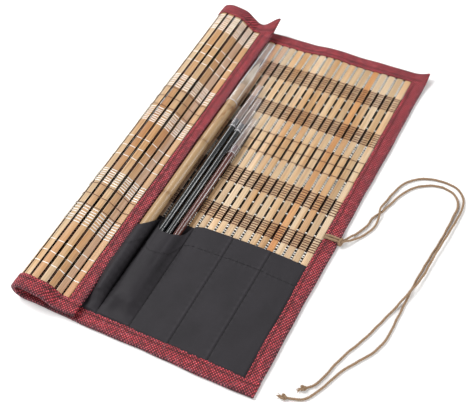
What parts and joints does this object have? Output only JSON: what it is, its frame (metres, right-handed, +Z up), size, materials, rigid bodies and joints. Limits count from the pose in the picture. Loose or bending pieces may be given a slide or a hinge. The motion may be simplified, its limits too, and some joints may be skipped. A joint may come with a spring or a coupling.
{
  "type": "brush roll case",
  "caption": "Roll-up brush case: bamboo slats on warp threads, woven edge binding, fabric pockets, tying cord and capped brushes; the left side is curled back.",
  "frame": {"origin": "on the underside of the flat part of the mat, at the inner edge of the corded edge binding and the front end of the slats", "axes": "+X across the slats towards the corded edge, +Y along the slats towards the brush tips, +Z up out of the open inner face"},
  "size_m": [0.2474, 0.3, 0.0195],
  "materials": {
    "bamboo": "satin",
    "binding": "matte",
    "pocket_fabric": "matte",
    "cord": "matte",
    "brush_bamboo": "satin",
    "black_lacquer": "gloss",
    "brown_lacquer": "gloss",
    "pale_bristle": "matte",
    "dark_bristle": "matte",
    "clear_cap": "gloss"
  },
  "bodies": {
    "base": {"slats_base": "bamboo", "binding_base": "binding", "pocket_base": "pocket_fabric"},
    "curl_1": {"slats_curl_1": "bamboo", "binding_curl_1": "binding"},
    "curl_2": {"slats_curl_2": "bamboo", "binding_curl_2": "binding"},
    "curl_3": {"slats_curl_3": "bamboo", "binding_curl_3": "binding"},
    "flap_1": {"slats_flap_1": "bamboo", "binding_flap_1": "binding"},
    "flap_2": {"slats_flap_2": "bamboo", "binding_flap_2": "binding"},
    "flap_3": {"slats_flap_3": "bamboo", "binding_flap_3": "binding"},
    "flap_4": {"slats_flap_4": "bamboo", "binding_flap_4": "binding", "edge_binding_left": "binding"},
    "roll_1": {"slats_roll_1": "bamboo", "binding_roll_1": "binding", "pocket_roll_1": "pocket_fabric"},
    "roll_2": {"slats_roll_2": "bamboo", "binding_roll_2": "binding", "pocket_roll_2": "pocket_fabric"},
    "roll_3": {"slats_roll_3": "bamboo", "binding_roll_3": "binding", "pocket_roll_3": "pocket_fabric"},
    "roll_4": {"slats_roll_4": "bamboo", "binding_roll_4": "binding", "pocket_roll_4": "pocket_fabric"},
    "roll_5": {"slats_roll_5": "bamboo", "binding_roll_5": "binding", "pocket_roll_5": "pocket_fabric"},
    "roll_6": {"slats_roll_6": "bamboo", "binding_roll_6": "binding", "pocket_roll_6": "pocket_fabric"},
    "roll_7": {"slats_roll_7": "bamboo", "binding_roll_7": "binding", "pocket_roll_7": "pocket_fabric", "edge_binding_right": "binding", "cord_loop": "cord"},
    "cord": {"cord_tails": "cord"},
    "brush_natural": {"handle_natural": "brush_bamboo", "tuft_natural": "pale_bristle"},
    "cap_natural": {"cap_natural": "clear_cap"},
    "brush_black_a": {"handle_black_a": "black_lacquer", "tuft_black_a": "dark_bristle"},
    "cap_black_a": {"cap_black_a": "clear_cap"},
    "brush_black_b": {"handle_black_b": "black_lacquer", "tuft_black_b": "dark_bristle"},
    "cap_black_b": {"cap_black_b": "clear_cap"},
    "brush_brown": {"handle_brown": "brown_lacquer", "tuft_brown": "dark_bristle"},
    "cap_brown": {"cap_brown": "clear_cap"}
  },
  "joints": [
    {"name": "flap_unroll", "type": "hinge", "parent": "base", "child": "curl_1", "pos_m": [-0.1619, 0.15, 0.00155], "axis": [0, -1, 0], "range_deg": [0, 30]},
    {"name": "curl_2_bend", "type": "hinge", "parent": "curl_1", "child": "curl_2", "pos_m": [-0.16753, 0.15, 0.0048], "axis": [0, -1, 0], "range_deg": [0, 50.5]},
    {"name": "curl_3_bend", "type": "hinge", "parent": "curl_2", "child": "curl_3", "pos_m": [-0.16866, 0.15, 0.0112], "axis": [0, -1, 0], "range_deg": [0, 45.5]},
    {"name": "flap_1_bend", "type": "hinge", "parent": "curl_3", "child": "flap_1", "pos_m": [-0.16493, 0.15, 0.01653], "axis": [0, -1, 0], "range_deg": [0, 41.5]},
    {"name": "flap_2_bend", "type": "hinge", "parent": "flap_1", "child": "flap_2", "pos_m": [-0.15862, 0.15, 0.0181], "axis": [0, -1, 0], "range_deg": [0, 24.5]},
    {"name": "flap_3_bend", "type": "hinge", "parent": "flap_2", "child": "flap_3", "pos_m": [-0.14582, 0.15, 0.01584], "axis": [0, -1, 0], "range_deg": [0, 32.5]},
    {"name": "flap_4_bend", "type": "hinge", "parent": "flap_3", "child": "flap_4", "pos_m": [-0.13616, 0.15, 0.00714], "axis": [0, -1, 0], "range_deg": [-42.5, 0]},
    {"name": "case_roll_up", "type": "hinge", "parent": "base", "child": "roll_1", "pos_m": [-0.1099, 0.15, 0.00155], "axis": [0, -1, 0], "range_deg": [0, 28]},
    {"name": "roll_2_bend", "type": "hinge", "parent": "roll_1", "child": "roll_2", "pos_m": [-0.0839, 0.15, 0.00155], "axis": [0, -1, 0], "range_deg": [0, 40.5]},
    {"name": "roll_3_bend", "type": "hinge", "parent": "roll_2", "child": "roll_3", "pos_m": [-0.0709, 0.15, 0.00155], "axis": [0, -1, 0], "range_deg": [0, 42.5]},
    {"name": "roll_4_bend", "type": "hinge", "parent": "roll_3", "child": "roll_4", "pos_m": [-0.0579, 0.15, 0.00155], "axis": [0, -1, 0], "range_deg": [0, 34.5]},
    {"name": "roll_5_bend", "type": "hinge", "parent": "roll_4", "child": "roll_5", "pos_m": [-0.0449, 0.15, 0.00155], "axis": [0, -1, 0], "range_deg": [0, 26.5]},
    {"name": "roll_6_bend", "type": "hinge", "parent": "roll_5", "child": "roll_6", "pos_m": [-0.0319, 0.15, 0.00155], "axis": [0, -1, 0], "range_deg": [0, 24.5]},
    {"name": "roll_7_bend", "type": "hinge", "parent": "roll_6", "child": "roll_7", "pos_m": [-0.0189, 0.15, 0.00155], "axis": [0, -1, 0], "range_deg": [0, 21.5]},
    {"name": "cord_swing", "type": "hinge", "parent": "roll_7", "child": "cord", "pos_m": [0.0134, 0.128, 0.0012], "axis": [0, -1, 0], "range_deg": [-35.5, 0]},
    {"name": "brush_natural_slide", "type": "slide", "parent": "base", "child": "brush_natural", "axis": [0, 1, 0], "range_m": [0, 0.11]},
    {"name": "cap_natural_pull", "type": "slide", "parent": "brush_natural", "child": "cap_natural", "axis": [0, 1, 0], "range_m": [0, 0.078]},
    {"name": "brush_black_a_slide", "type": "slide", "parent": "roll_1", "child": "brush_black_a", "axis": [0, 1, 0], "range_m": [0, 0.105]},
    {"name": "cap_black_a_pull", "type": "slide", "parent": "brush_black_a", "child": "cap_black_a", "axis": [0, 1, 0], "range_m": [0, 0.052]},
    {"name": "brush_black_b_slide", "type": "slide", "parent": "roll_1", "child": "brush_black_b", "axis": [0, 1, 0], "range_m": [0, 0.105]},
    {"name": "cap_black_b_pull", "type": "slide", "parent": "brush_black_b", "child": "cap_black_b", "axis": [0, 1, 0], "range_m": [0, 0.042]},
    {"name": "brush_brown_slide", "type": "slide", "parent": "roll_1", "child": "brush_brown", "axis": [0, 1, 0], "range_m": [0, 0.105]},
    {"name": "cap_brown_pull", "type": "slide", "parent": "brush_brown", "child": "cap_brown", "axis": [0, 1, 0], "range_m": [0, 0.042]}
  ],
  "couplings": [
    {"joint": "curl_2_bend", "follows": "flap_unroll", "ratio": 1.6667},
    {"joint": "curl_3_bend", "follows": "flap_unroll", "ratio": 1.5},
    {"joint": "flap_1_bend", "follows": "flap_unroll", "ratio": 1.3667},
    {"joint": "flap_2_bend", "follows": "flap_unroll", "ratio": 0.8},
    {"joint": "flap_3_bend", "follows": "flap_unroll", "ratio": 1.0667},
    {"joint": "flap_4_bend", "follows": "flap_unroll", "ratio": -1.4},
    {"joint": "roll_2_bend", "follows": "case_roll_up", "ratio": 1.4286},
    {"joint": "roll_3_bend", "follows": "case_roll_up", "ratio": 1.5},
    {"joint": "roll_4_bend", "follows": "case_roll_up", "ratio": 1.2143},
    {"joint": "roll_5_bend", "follows": "case_roll_up", "ratio": 0.92857},
    {"joint": "roll_6_bend", "follows": "case_roll_up", "ratio": 0.85714},
    {"joint": "roll_7_bend", "follows": "case_roll_up", "ratio": 0.75},
    {"joint": "cord_swing", "follows": "case_roll_up", "ratio": -1.25}
  ]
}
